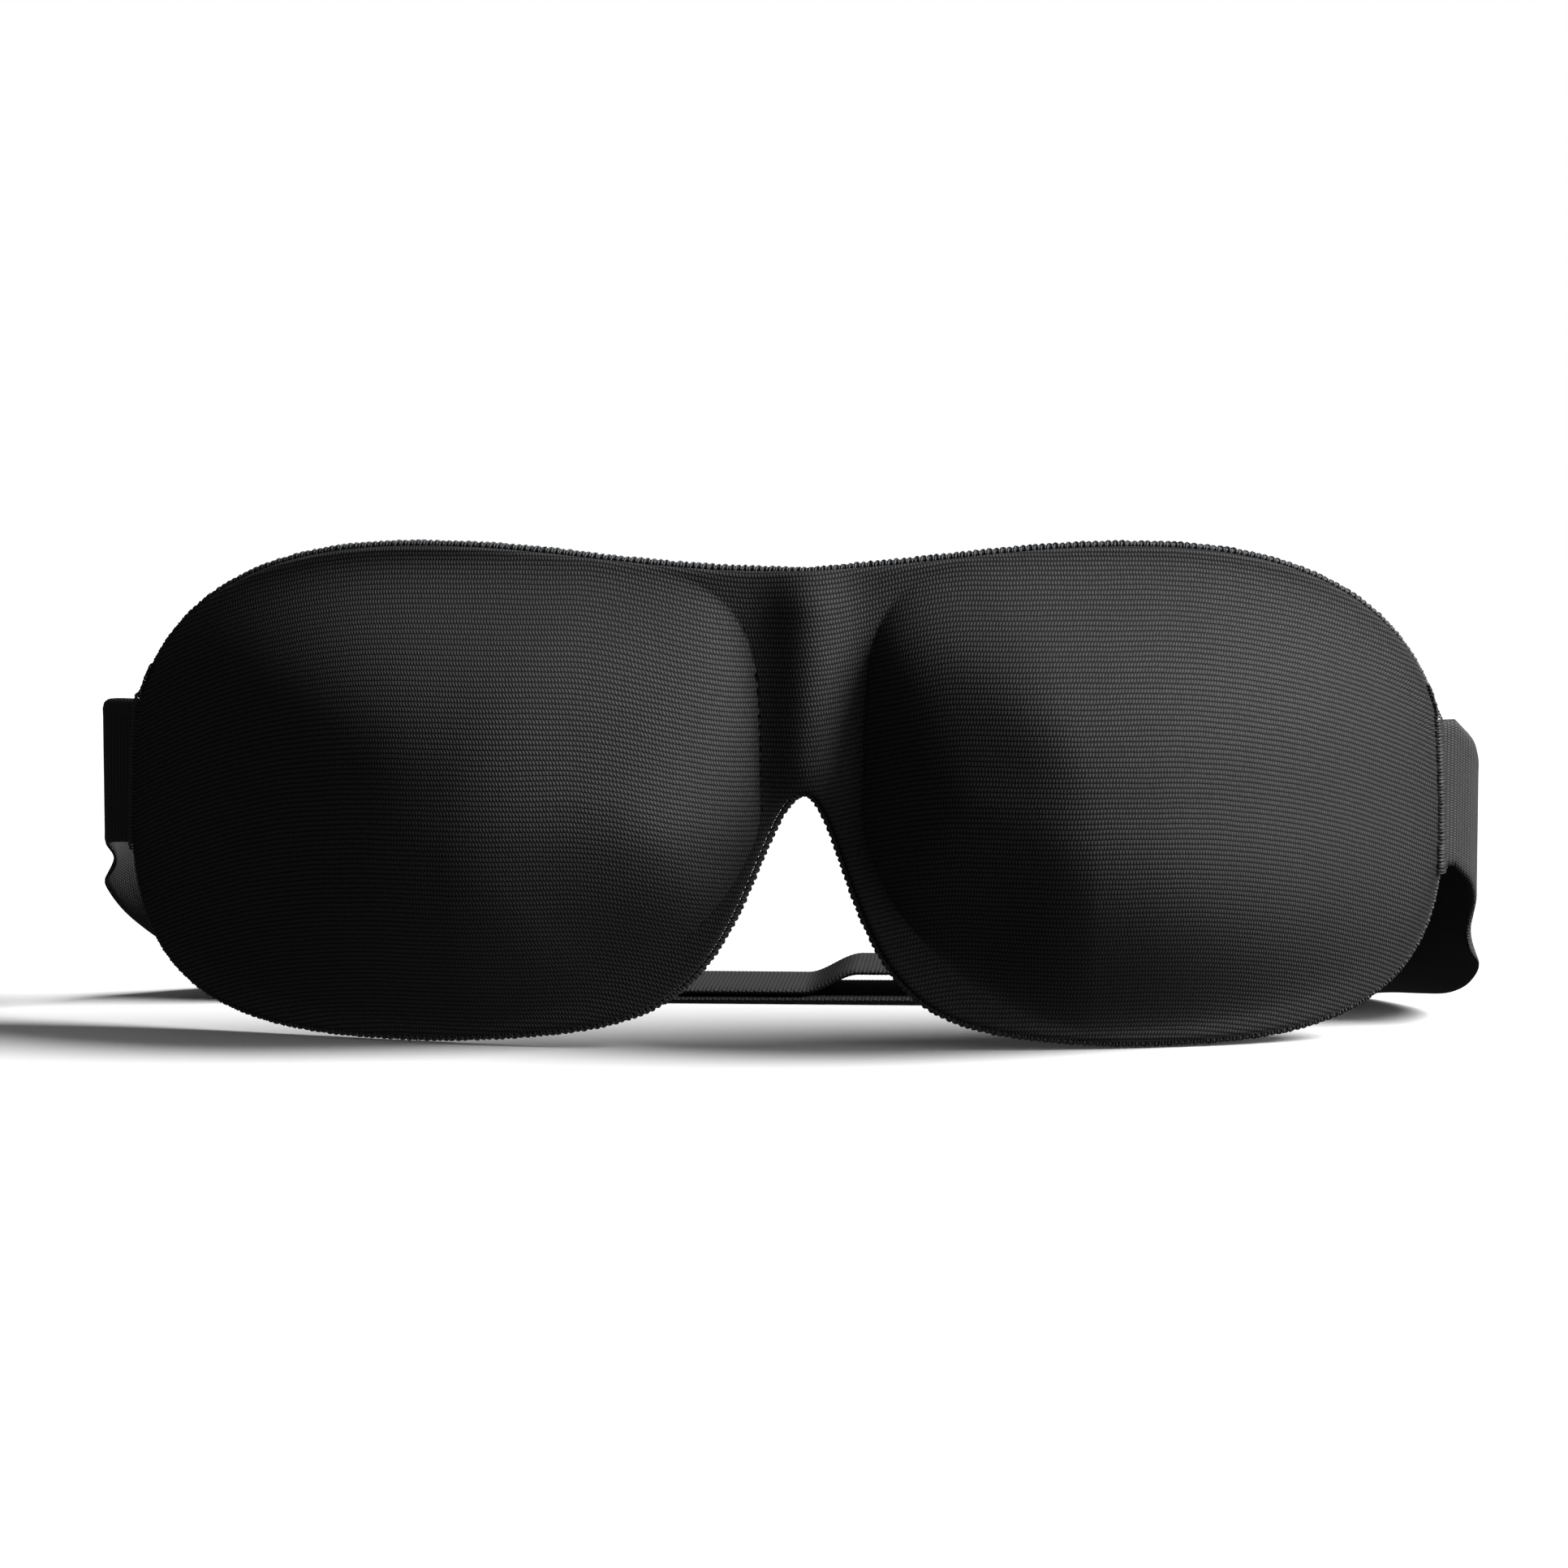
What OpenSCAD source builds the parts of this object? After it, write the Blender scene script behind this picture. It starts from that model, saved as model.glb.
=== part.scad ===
// Contoured sleep eye mask with an adjustable elastic head strap.
// +X runs along the mask, +Y points from the mask back to the strap, +Z is up.
// The mask stands on the lower edges of its two cups. The strap leaves the side
// edges upright, sinks and turns over, and lies flat on the same floor behind the
// mask. The origin is on that floor, in the middle of the whole outline.

/* [Mask outline] */
// Width of the padded front, from side edge to side edge
mask_w = 225; // [205:1:240]
// Height of the padded front over the cups
mask_h = 84; // [76:1:92]
// Height of the widest level, where the strap is sewn on
side_z = 42.3; // [38:0.1:46]
// How far the side edges lie behind the bridge
edge_setback = 26; // [20:1:32]
// How much lower the top edge is over the bridge than over the cups
brow_dip = 4; // [0:0.5:8]
// Distance of the highest and lowest points of a cup from the middle
cup_peak_x = 57.5; // [52:0.5:62]

/* [Cups] */
// Depth that a cup is moulded forward of the sheet
cup_depth = 21; // [14:1:24]
// Distance of a dome's centre from the middle
dome_x = 60; // [57:0.5:62]
// Width of a dome from its centre towards the bridge
dome_inner_w = 50.5; // [46:0.5:54]
// Width of a dome from its centre towards the side edge
dome_outer_w = 51.5; // [44:0.5:52]
// Half height of the moulded dome
dome_rz = 39.5; // [34:0.5:41]

/* [Nose notch] */
// Height of the notch above the lowest edge of the cups
notch_h = 43; // [38:0.5:45]
// Half width of the notch at half its height
notch_half_w = 11.2; // [8:0.1:13]
// Sideways offset that the soft notch has taken from the middle
notch_shift = 5.6; // [0:0.1:7]

/* [Layers] */
// Thickness of the outer knit
cover_t = 0.6; // [0.4:0.1:1]
// Thickness of the skin-side knit
lining_t = 0.6; // [0.4:0.1:1]
// Thickness of the foam inside the cups
foam_mid_t = 4.6; // [3:0.1:5.5]
// Thickness of the foam pressed at the edge
foam_edge_t = 1.5; // [1:0.1:2.5]
// Width of the overlocked rim around the edge
rim_w = 1.2; // [0.8:0.1:2]

/* [Strap] */
// Width of the elastic webbing
strap_w = 25; // [20:1:26]
// Thickness of the elastic webbing
strap_t = 1.2; // [0.8:0.1:1.4]
// Free length between a side seam and the first fold
fold_run = 2.6; // [1:0.1:6]
// Distance from the side seams back to the run on the floor
loop_depth = 40; // [36:1:60]

/* [Adjuster] */
// Distance between the two bars of the ring that hold the webbing
ring_pitch = 9.8; // [9.8:0.2:12]
// Radius of the bars of the ring and the slider
bar_r = 1.1; // [1:0.05:1.2]
// Distance of an outer bar of the slider from its middle bar
slider_pitch = 8; // [7.5:0.5:9]
// Place of the slider along the strap
slider_x = 56; // [50:1:57]
// Distance that the slider runs along the strap, towards the ring
slider_travel = 34; // [20:1:36]

/* [Hidden] */

knit_color = [0.09, 0.09, 0.10];
lining_color = [0.13, 0.13, 0.15];
foam_color = [0.25, 0.25, 0.27];
rim_color = [0.16, 0.16, 0.17];
webbing_color = [0.07, 0.07, 0.08];
thread_color = [0.03, 0.03, 0.03];
plastic_color = [0.10, 0.10, 0.10];

$fn = 32;
glue = 0.05;            // film of glue between two layers
body_gap = 0.3;         // air between two pieces that move apart
seam_gap = 1;           // bare stretch at a side seam, over which the strap swings
tab_gap = 0.55;         // air between a sewn end and the lining, which curves behind it

// Grid of the layers: cells along the mask and from its lower to its upper edge
cells_u = 52;
cells_v = 14;
u_cup = 0.56;           // share of the half width that runs from the middle to a cup's peak
outer_low_n = 3.3;      // squareness of the lower outer corners
outer_top_n = 2.4;      // squareness of the upper outer corners
dome_low_n = 1.8;       // squareness of a dome's lower inner corner
dome_high_n = 3.6;      // squareness of its upper inner corner
dome_outer_n = 2.4;     // squareness of its outer corners
dome_power = 2.4;       // flatness of a dome's middle
dome_foot = 1.2;        // softness of a dome's foot
wrap_power = 2.2;       // how the sheet's curve grows towards the side edges
sheet_lean = 2.5;       // how far the upper and lower edges lie behind the middle
foam_v_power = 6;       // how suddenly the foam thins at the upper and lower edges
foam_u_power = 14;      // and at the side edges
side_bow_power = 12;    // how far in from the side edge its bow reaches
notch_power = 2.28;     // how suddenly the notch turns into the cup's lower edge
inner_bias = 1.6;       // crowds the grid towards the notch
outer_bias = 1.2;       // crowds the grid towards the cup's peak
half_w = mask_w / 2 - rim_w;
low_z = rim_w;
top_z = mask_h - rim_w;
seam_half_h = strap_w / 2;

// The whole model is moved back so that its outline is centred on the origin
y_shift = -34.45;

function mix(a, b, t) = a + (b - a) * t;
function clamp01(t) = min(max(t, 0), 1);
function ease_both(t) = clamp01(t) * clamp01(t) * (3 - 2 * clamp01(t));
function ease_out(t) = clamp01(t) * (2 - clamp01(t));
function unit(v) = v / norm(v);

// Lower edge of the sheet: the notch, then a superellipse corner out to the side seam
notch_rise = notch_h - low_z;
notch_tail = notch_rise / (1 + pow(cup_peak_x / notch_half_w, notch_power));
function notch_z(x) = low_z + notch_rise / (1 + pow(x / notch_half_w, notch_power))
                      - notch_tail * x / cup_peak_x;
low_phi = acos(pow(seam_half_h / (side_z - low_z), outer_low_n / 2));
function low_corner(t) = let (phi = low_phi * pow(t, outer_bias))
    [cup_peak_x + (half_w - cup_peak_x) * pow(sin(phi), 2 / outer_low_n),
     side_z - (side_z - low_z) * pow(cos(phi), 2 / outer_low_n)];
function low_inner(t) = let (x = cup_peak_x * pow(t, inner_bias)) [x, notch_z(x)];
function low_half(a) = a <= u_cup ? low_inner(a / u_cup) : low_corner((a - u_cup) / (1 - u_cup));
function low_edge(u) = let (p = low_half(abs(u)))
    [sign(u) * p[0] + notch_shift * (1 - clamp01(p[0] / cup_peak_x)), p[1]];

// Upper edge of the sheet: a shallow dip over the bridge, then the upper corner
top_phi = acos(pow(seam_half_h / (top_z - side_z), outer_top_n / 2));
function top_corner(t) = let (phi = top_phi * pow(t, outer_bias))
    [cup_peak_x + (half_w - cup_peak_x) * pow(sin(phi), 2 / outer_top_n),
     side_z + (top_z - side_z) * pow(cos(phi), 2 / outer_top_n)];
function top_inner(t) = [cup_peak_x * t, top_z - brow_dip * (1 + cos(180 * t)) / 2];
function top_half(a) = a <= u_cup ? top_inner(a / u_cup) : top_corner((a - u_cup) / (1 - u_cup));
function top_edge(u) = let (p = top_half(abs(u))) [sign(u) * p[0], p[1]];

// A point of the flat pattern: straight between the edges, with a bowed side edge
side_bow = half_w - low_half(1)[0];
function flat_point(u, v) = mix(low_edge(u), top_edge(u), v)
    + [sign(u) * side_bow * pow(abs(u), side_bow_power) * (1 - pow(2 * v - 1, 2)), 0];

// Depth of the sheet: wrapped round the face, with one moulded dome over each eye
function unshifted(x) = x - notch_shift * (1 - clamp01(abs(x) / cup_peak_x));
function dome_n(x, z) = abs(x) > dome_x ? dome_outer_n
    : mix(dome_low_n, dome_high_n, ease_both((z - side_z) / dome_rz * 0.7 + 0.5));
function dome_radius(x, z) = let (n = dome_n(x, z), w = abs(x) > dome_x ? dome_outer_w : dome_inner_w)
    pow(pow(abs(abs(x) - dome_x) / w, n) + pow(abs(z - side_z) / dome_rz, n), 1 / n);
function dome_height(x, z) = cup_depth
    * pow(1 - pow(clamp01(dome_radius(unshifted(x), z)), dome_power), dome_foot);
function sheet_y(x, z) = edge_setback * pow(abs(x) / half_w, wrap_power)
    + sheet_lean * pow((z - side_z) / side_z, 2) - dome_height(x, z) + y_shift;
probe = 0.05;
function sheet_normal(p) = unit([
    (sheet_y(p[0] + probe, p[1]) - sheet_y(p[0] - probe, p[1])) / (2 * probe), -1,
    (sheet_y(p[0], p[1] + probe) - sheet_y(p[0], p[1] - probe)) / (2 * probe)]);
function on_sheet(p) = [p[0], sheet_y(p[0], p[1]), p[1]];

function foam_t(u, v) = foam_edge_t + (foam_mid_t - foam_edge_t)
    * (1 - pow(abs(2 * v - 1), foam_v_power)) * (1 - pow(abs(u), foam_u_power));

grid_u = [for (i = [0:cells_u]) 2 * i / cells_u - 1];
grid_v = [for (j = [0:cells_v]) j / cells_v];
sheet_grid = [for (u = grid_u) for (v = grid_v)
    let (p = flat_point(u, v)) [on_sheet(p), sheet_normal(p), foam_t(u, v)]];

// Closed shell between two grids of points of the same size
module shell(front, back) {
    rows = cells_v + 1;
    n = (cells_u + 1) * rows;
    function at(i, j) = i * rows + j;
    cells = [for (i = [0:cells_u - 1]) for (j = [0:cells_v - 1])
        [at(i, j), at(i + 1, j), at(i + 1, j + 1), at(i, j + 1)]];
    edge = concat([for (i = [0:cells_u - 1]) at(i, 0)], [for (j = [0:cells_v - 1]) at(cells_u, j)],
                  [for (i = [cells_u:-1:1]) at(i, cells_v)], [for (j = [cells_v:-1:1]) at(0, j)]);
    count = len(edge);
    polyhedron(concat(front, back), concat(
        [for (c = cells) [c[0], c[2], c[1]]], [for (c = cells) [c[0], c[3], c[2]]],
        [for (c = cells) [c[0] + n, c[1] + n, c[2] + n]],
        [for (c = cells) [c[0] + n, c[2] + n, c[3] + n]],
        [for (k = [0:count - 1]) [edge[k], edge[(k + 1) % count], edge[(k + 1) % count] + n]],
        [for (k = [0:count - 1]) [edge[k], edge[(k + 1) % count] + n, edge[k] + n]]));
}

// Layer whose faces lie at two depths behind the front of the foam, in shares of
// the foam's own thickness plus a fixed distance
module layer(front_share, front_add, back_share, back_add) {
    shell([for (g = sheet_grid) g[0] - g[1] * (front_share * g[2] + front_add)],
          [for (g = sheet_grid) g[0] - g[1] * (back_share * g[2] + back_add)]);
}

// Outer knit over the front of the foam
module face_cover() {
    color(knit_color) layer(0, -glue - cover_t, 0, -glue);
}

// Moulded foam, thick over the eyes and pressed thin along the edge
module foam_core() {
    color(foam_color) layer(0, 0, 1, 0);
}

// Knit on the skin side
module face_lining() {
    color(lining_color) layer(1, glue, 1, glue + lining_t);
}

// Closed tube: rings of points, joined in turn, the last to the first
module closed_band(rings) {
    sides = len(rings[0]);
    count = len(rings);
    polyhedron([for (r = rings) each r],
        [for (i = [0:count - 1]) for (k = [0:sides - 1]) for (half = [0, 1])
            let (a = i * sides + k, b = i * sides + (k + 1) % sides,
                 c = ((i + 1) % count) * sides + k, d = ((i + 1) % count) * sides + (k + 1) % sides)
            half == 0 ? [a, b, d] : [a, d, c]]);
}

// Overlocked rim: thread wound round the raw edge of all three layers
outline = concat([for (u = grid_u) [u, 0]],
                 [for (j = [1:cells_v - 1]) [1, j / cells_v]],
                 [for (i = [cells_u:-1:0]) [grid_u[i], 1]],
                 [for (j = [cells_v - 1:-1:1]) [-1, j / cells_v]]);
rim_count = len(outline);
rim_flat = 0.6;         // share of the rim's section before its corners are cut
function outline_point(k) = let (q = outline[(k + rim_count) % rim_count]) flat_point(q[0], q[1]);
function rim_ring(k) = let (
    p = outline_point(k),
    along2 = unit(outline_point(k + 1) - outline_point(k - 1)),
    n = sheet_normal(p),
    along = unit([along2[0], -(n[0] * along2[0] + n[2] * along2[1]) / n[1], along2[1]]),
    out = cross(along, n),
    back_t = foam_edge_t + glue + lining_t,
    front_t = glue + cover_t,
    mid = (front_t - back_t) / 2,
    half_t = (front_t + back_t) / 2)
    [for (c = [[glue, -half_t], [rim_flat * rim_w, -half_t], [rim_w, (rim_flat - 1) * half_t],
               [rim_w, (1 - rim_flat) * half_t], [rim_flat * rim_w, half_t], [glue, half_t]])
        on_sheet(p) + out * c[0] + n * (mid + c[1])];
module edge_rim() {
    color(rim_color) closed_band([for (k = [0:rim_count - 1]) rim_ring(k)]);
}

// Plan of the strap, right half: out of the side seam, round the first fold, back,
// and round an easy bend onto the run along the floor
seam_turn = atan(wrap_power * edge_setback / half_w);    // heading of the sheet at its side edge
fold_r = 3;             // radius of the first fold
back_turn = 125;        // heading of the run after the first fold
easy_r = 24;            // radius of the easy bend onto the back run
tab_in_u = 0.93;        // where the sewn end starts, as a share of the half width
tab_out = 4.2;          // length of the sewn end outside the padded layers
function step(p, heading, run) = p + run * [cos(heading), sin(heading)];

// Middle of the webbing where it lies behind the lining, at a share u of the half width
function behind_lining(u) = let (
    p = flat_point(u, 0.5),
    q = [p[0], side_z + strap_w / 2],
    n = sheet_normal(q),
    r = on_sheet(q) - n * (foam_t(u, 0.5) + lining_t + glue + tab_gap + strap_t / 2))
    [r[0], r[1]];
tab_end = step(behind_lining(1), seam_turn, tab_out);
strap_start = step(tab_end, seam_turn, seam_gap);

ring_y = strap_start[1] + loop_depth;              // middle line of the run on the floor
loose = 0.9;            // air round a bar on which the ring can swing
close = 0.1;            // air round a bar that is wrapped tightly
right_loop_r = bar_r + loose + strap_t / 2;
left_loop_r = bar_r + close + strap_t / 2;
floor_gap = 0.1;
floor_z = floor_gap + strap_t / 2;                 // middle of webbing that lies on the floor
ring_z = floor_gap + strap_t / 2 + right_loop_r;   // plane of the ring
ring_left_x = -46;
ring_right_x = ring_left_x + ring_pitch;
sewn_tail = 12;         // length of webbing folded back and sewn

// Plan points of one half
fold_c = step(step(strap_start, seam_turn, fold_run), seam_turn + 90, fold_r);
fold_end = step(fold_c, back_turn - 90, fold_r);
back_run = (ring_y - fold_end[1] - easy_r * (1 - cos(180 - back_turn))) / sin(back_turn);
easy_c = step(step(fold_end, back_turn, back_run), back_turn + 90, easy_r);
strap_plan = concat(
    [for (i = [0:3]) step(strap_start, seam_turn, fold_run * i / 4)],
    [for (i = [0:6]) step(fold_c, seam_turn - 90 + (back_turn - seam_turn) * i / 6, fold_r)],
    [for (i = [1:9]) step(fold_end, back_turn, back_run * i / 10)],
    [for (i = [0:8]) step(easy_c, back_turn - 90 + (180 - back_turn) * i / 8, easy_r)]);

// Share of the way from the seam to the back run, and the sinking and turning along it
turn_from = 0.12;       // share of the way at which the webbing begins to turn over
turn_over_share = 0.73; // share of the way that the turn takes
shear_from = 0.1;       // share at which the upright webbing begins to lie square to its line
shear_share = 0.3;      // share of the way that this takes
function way(p) = (p[1] - strap_start[1]) / (ring_y - strap_start[1]);
function sink_z(t, right) = mix(side_z, floor_z, right ? ease_out(t) : ease_both(t));
function turn_over(t) = 90 * ease_both((t - turn_from) / turn_over_share);

// Middle line of one half in space: the plan, then a ramp up to the height of the run
// at the adjuster, and along it to the ring
slider_half = slider_pitch + bar_r + 1;            // half the slider's length, and some room
ramp_end_x = slider_x + slider_half;               // where the run has risen to the adjuster
sag_from_x = slider_x - slider_travel - slider_half;   // where the long strap sinks again
sag_to_x = ring_right_x + 4;                       // and where it has risen to the ring
sag_ramp = 10;          // length of each of these slopes
function strap_line(right, run_z) = let (last = strap_plan[len(strap_plan) - 1])
    concat([for (p = strap_plan) [p[0], p[1], sink_z(way(p), right)]],
           [for (i = [1:6]) [mix(last[0], ramp_end_x, i / 6), ring_y,
                             mix(floor_z, run_z, ease_both(i / 6))]]);

// Frames [point, width direction] along a line of points: upright at the seam, where the
// webbing shears, square to the line farther on, and turned flat on the floor
function strap_frames(line) = let (last = len(line) - 1) [for (i = [0:last]) let (
    t = unit(line[min(i + 1, last)] - line[max(i - 1, 0)]),
    left = unit([-t[1], t[0], 0]),
    share = way(line[i]),
    up = unit(mix([0, 0, 1], cross(t, left), ease_both((share - shear_from) / shear_share))),
    phi = turn_over(share))
    [line[i], cos(phi) * up + sin(phi) * left]];

function mirror_frames(frames) = [for (f = frames)
    [[-f[0][0], f[0][1], f[0][2]], [-f[1][0], f[1][1], f[1][2]]]];

// Frame on the back run, at a height above the plane of the ring
function run_frame(x, lift) = [[x, ring_y, ring_z + lift], [0, -1, 0]];

// Half turn round a bar that lies across the run, and the straight tail after it
function loop_frames(x, lift, r, from, sweep, tail) = concat(
    [for (i = [0:10]) let (a = from + sweep * i / 10) run_frame(x + r * cos(a), lift + r * sin(a))],
    [run_frame(x + r * cos(from + sweep) + tail, lift + r * sin(from + sweep))]);

// Flat webbing through a list of frames
module webbing(frames) {
    last = len(frames) - 1;
    function ring_of(i) = let (
        t = unit(frames[min(i + 1, last)][0] - frames[max(i - 1, 0)][0]),
        w = frames[i][1],
        n = unit(cross(t, w)))
        [for (c = [[-1, -1], [-1, 1], [1, 1], [1, -1]])
            frames[i][0] + n * c[0] * strap_t / 2 + w * c[1] * strap_w / 2];
    polyhedron([for (i = [0:last]) each ring_of(i)], concat(
        [for (i = [0:last - 1]) for (k = [0:3]) for (half = [0, 1])
            let (a = 4 * i + k, b = 4 * i + (k + 1) % 4)
            half == 0 ? [a, b + 4, b] : [a, a + 4, b + 4]],
        [[0, 1, 2], [0, 2, 3]],
        [[4 * last, 4 * last + 2, 4 * last + 1], [4 * last, 4 * last + 3, 4 * last + 2]]));
}

// Short strap: left seam to the ring, round its left bar and back to where it is sewn
module strap_left() {
    run = mirror_frames(strap_frames(strap_line(false, ring_z + left_loop_r)));
    color(webbing_color)
        webbing(concat(run, loop_frames(ring_left_x, 0, left_loop_r, 90, -180, -sewn_tail)));
}

// Long strap: right seam, through the slider, and round the ring's right bar. Between
// the two it sinks onto the returning layer.
loop_end = 2;           // straight end of a loop after its half turn
return_start_x = ring_right_x + loop_end;
layer_gap = 0.15;       // air between the long strap and the fold on the slider
slider_bar_lift = right_loop_r - strap_t - layer_gap - left_loop_r;
sag_z = ring_z + slider_bar_lift - left_loop_r + strap_t + body_gap;
function sag_line(down) = [for (i = [0:6]) let (t = ease_both(i / 6))
    down ? [sag_from_x - sag_ramp * i / 6, ring_y, mix(ring_z + right_loop_r, sag_z, t)]
         : [sag_to_x + sag_ramp * (1 - i / 6), ring_y, mix(sag_z, ring_z + right_loop_r, t)]];
module strap_right() {
    run = strap_frames(concat(strap_line(true, ring_z + right_loop_r), sag_line(true), sag_line(false)));
    color(webbing_color)
        webbing(concat(run, loop_frames(ring_right_x, 0, right_loop_r, 90, 180,
                                        return_start_x - ring_right_x)));
}

// The same webbing on its way back, under the long strap, from the ring to the slider
end_start_x = slider_x - sewn_tail;
module strap_return() {
    color(webbing_color)
        webbing([run_frame(return_start_x + body_gap, -right_loop_r),
                 run_frame(end_start_x - body_gap, slider_bar_lift - left_loop_r)]);
}

// End of the long strap, folded round the slider's middle bar and sewn to itself
module strap_end() {
    color(webbing_color)
        webbing(concat([run_frame(end_start_x, slider_bar_lift - left_loop_r)],
                       loop_frames(slider_x, slider_bar_lift, left_loop_r, -90, 180, loop_end - sewn_tail)));
}

// Sewn-down end of a strap behind the lining, which comes out at the side edge
module strap_tab() {
    plan = concat([for (i = [0:3]) behind_lining(mix(tab_in_u, 1, i / 3))], [tab_end]);
    color(webbing_color) webbing([for (p = plan) [[p[0], p[1], side_z], [0, 0, 1]]]);
}
module strap_tab_left() { mirror([1, 0, 0]) strap_tab(); }
module strap_tab_right() { strap_tab(); }

// Zigzag bartack over the padded edge, from its front face
tack_w = 3.2;           // width of the stitched strip
tack_t = 0.5;           // thickness of the thread on the knit
tack_inset = 1.6;       // distance of the strip from the edge of the layers
tack_rows = 6;
tack_over = 1;          // how much taller the strip is than the webbing
module side_bartack() {
    function face(x, z, d) = let (n = sheet_normal([x, z]))
        on_sheet([x, z]) + n * (2 * glue + cover_t + d);
    x1 = half_w - tack_inset;
    last = 4 * tack_rows;
    rings = [for (i = [0:tack_rows]) let (z = side_z + (strap_w + tack_over) * (i / tack_rows - 0.5))
        [for (c = [[x1 - tack_w, 0], [x1, 0], [x1, tack_t], [x1 - tack_w, tack_t]])
            face(c[0], z, c[1])]];
    color(thread_color) polyhedron([for (r = rings) each r], concat(
        [for (i = [0:tack_rows - 1]) for (k = [0:3]) for (half = [0, 1])
            let (a = 4 * i + k, b = 4 * i + (k + 1) % 4)
            half == 0 ? [a, b + 4, b] : [a, a + 4, b + 4]],
        [[0, 1, 2], [0, 2, 3]],
        [[last, last + 2, last + 1], [last, last + 3, last + 2]]));
}
module side_bartack_left() { mirror([1, 0, 0]) side_bartack(); }
module side_bartack_right() { side_bartack(); }

// Places a part that is drawn flat in the plane XZ, outer side +Y, onto the back run
module on_back_run(x, lift) {
    translate([x, ring_y, ring_z + lift]) rotate([90, 0, 0]) children();
}

// Rectangular ring of round bar that joins the two straps
ring_bend = 1.6;        // radius of the ring's corners, at the middle of the bar
bar_half = strap_w / 2 + body_gap + bar_r;     // from the middle to a rail's middle line
module ring() {
    pitch = ring_pitch / 2;
    color(plastic_color) on_back_run(ring_left_x + pitch, 0)
        for (side = [-1, 1]) {
            translate([side * pitch, 0, ring_bend - bar_half])
                cylinder(r = bar_r, h = 2 * (bar_half - ring_bend));
            translate([ring_bend - pitch, 0, side * bar_half])
                rotate([0, 90, 0]) cylinder(r = bar_r, h = ring_pitch - 2 * ring_bend);
            for (up = [-1, 1])
                translate([side * (pitch - ring_bend), 0, up * (bar_half - ring_bend)])
                    rotate([90, side > 0 ? (up > 0 ? 0 : 90) : (up > 0 ? -90 : 180), 0])
                        rotate_extrude(angle = 90) translate([ring_bend, 0]) circle(r = bar_r);
        }
}

// Arched three-bar slider: two outer bars over the long strap, the middle bar under it
slide_gap = 0.2;        // air between an outer bar and the long strap
arch_sag = right_loop_r + strap_t / 2 + slide_gap + bar_r - slider_bar_lift;
arch_r = (slider_pitch * slider_pitch + arch_sag * arch_sag) / (2 * arch_sag);
arch_half = asin(slider_pitch / arch_r);
rail_w = 1.8;           // thickness of a rail across its arch, a little under the bars
module slider() {
    rail_t = 2 * bar_r;
    color(plastic_color) on_back_run(slider_x, slider_bar_lift) {
        for (side = [-1, 1])
            translate([0, arch_r, side * bar_half - bar_r])
                rotate([0, 0, -90 - arch_half])
                    rotate_extrude(angle = 2 * arch_half, $fn = 96)
                        translate([arch_r - rail_w / 2, 0]) square([rail_w, rail_t]);
        for (bar = [[-slider_pitch, arch_sag, bar_r], [0, 0, 0], [slider_pitch, arch_sag, bar_r]])
            translate([bar[0], bar[1], -bar_half - bar[2]])
                cylinder(r = bar_r, h = 2 * (bar_half + bar[2]));
    }
}

// Bartack through the two layers of a folded strap end, centred at a height
stitch_w = 2.4;         // length of a bartack along the strap
stitch_inset = 2;       // distance of its ends from the edges of the webbing
stitch_from_end = 1;    // distance of a bartack from the end of the folded webbing
module loop_stitching(x, lift) {
    gap = 2 * left_loop_r - strap_t - 2 * glue;
    color(thread_color) on_back_run(x, lift)
        translate([0, -gap / 2, stitch_inset - strap_w / 2])
            cube([stitch_w, gap, strap_w - 2 * stitch_inset]);
}
module ring_loop_stitching() { loop_stitching(ring_left_x - sewn_tail + stitch_from_end, 0); }
module slider_loop_stitching() {
    loop_stitching(slider_x + loop_end - sewn_tail + stitch_from_end, slider_bar_lift);
}

face_cover();
foam_core();
face_lining();
edge_rim();
strap_tab_left();
strap_tab_right();
side_bartack_left();
side_bartack_right();
strap_left();
strap_right();
strap_return();
strap_end();
ring();
slider();
ring_loop_stitching();
slider_loop_stitching();
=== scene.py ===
import math
import bpy
import numpy as np
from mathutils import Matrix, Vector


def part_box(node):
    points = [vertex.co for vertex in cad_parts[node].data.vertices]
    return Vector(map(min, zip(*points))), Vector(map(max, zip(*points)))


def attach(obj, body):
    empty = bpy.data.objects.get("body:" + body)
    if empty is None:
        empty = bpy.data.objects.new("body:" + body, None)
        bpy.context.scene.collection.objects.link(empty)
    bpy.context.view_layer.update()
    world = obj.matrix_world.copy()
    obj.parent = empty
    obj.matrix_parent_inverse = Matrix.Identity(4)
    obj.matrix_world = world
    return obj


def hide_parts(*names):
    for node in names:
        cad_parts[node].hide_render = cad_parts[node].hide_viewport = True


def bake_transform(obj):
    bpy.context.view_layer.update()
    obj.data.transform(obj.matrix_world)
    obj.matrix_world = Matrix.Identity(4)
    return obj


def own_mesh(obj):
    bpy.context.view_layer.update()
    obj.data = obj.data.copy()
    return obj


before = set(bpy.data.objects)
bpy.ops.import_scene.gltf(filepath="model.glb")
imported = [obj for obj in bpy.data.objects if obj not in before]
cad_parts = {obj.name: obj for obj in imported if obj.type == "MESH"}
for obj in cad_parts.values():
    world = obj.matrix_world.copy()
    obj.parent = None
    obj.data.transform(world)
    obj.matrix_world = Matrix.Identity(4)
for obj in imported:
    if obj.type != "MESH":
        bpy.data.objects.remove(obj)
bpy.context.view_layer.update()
scene = bpy.context.scene
mm = 0.001              # shapes are worked out in millimetres


# Small helpers on whole arrays

def mixValues(a, b, t):
    return a + (b - a) * t


def smooth(t):          # 3t^2 - 2t^3 between 0 and 1
    t = np.clip(t, 0, 1)
    return t * t * (3 - 2 * t)


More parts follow.
